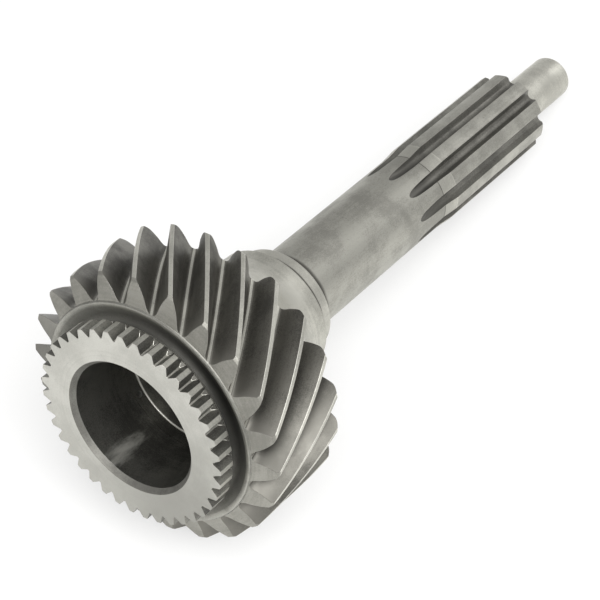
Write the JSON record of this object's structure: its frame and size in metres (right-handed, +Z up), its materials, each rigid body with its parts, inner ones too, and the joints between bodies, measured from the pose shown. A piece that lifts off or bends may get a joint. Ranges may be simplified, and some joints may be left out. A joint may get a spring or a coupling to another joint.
{
  "type": "transmission input shaft",
  "caption": "Steel gearbox input shaft: hollow head with dog teeth, left-hand helical gear, stepped collar and journal, plain shaft, straight splines and a round pilot nose.",
  "frame": {"origin": "middle of the box of the shaft as it lies at rest, on the surface it lies on", "axes": "+Z up; the shaft runs along Y from its head at -Y to the pilot nose at +Y, its axis dipping by about 10 degrees towards the nose; X is level, across the shaft"},
  "size_m": [0.0886, 0.2334, 0.0917],
  "materials": {
    "ground_steel": "satin"
  },
  "bodies": {
    "root": {"input_shaft": "ground_steel"}
  },
  "joints": []
}
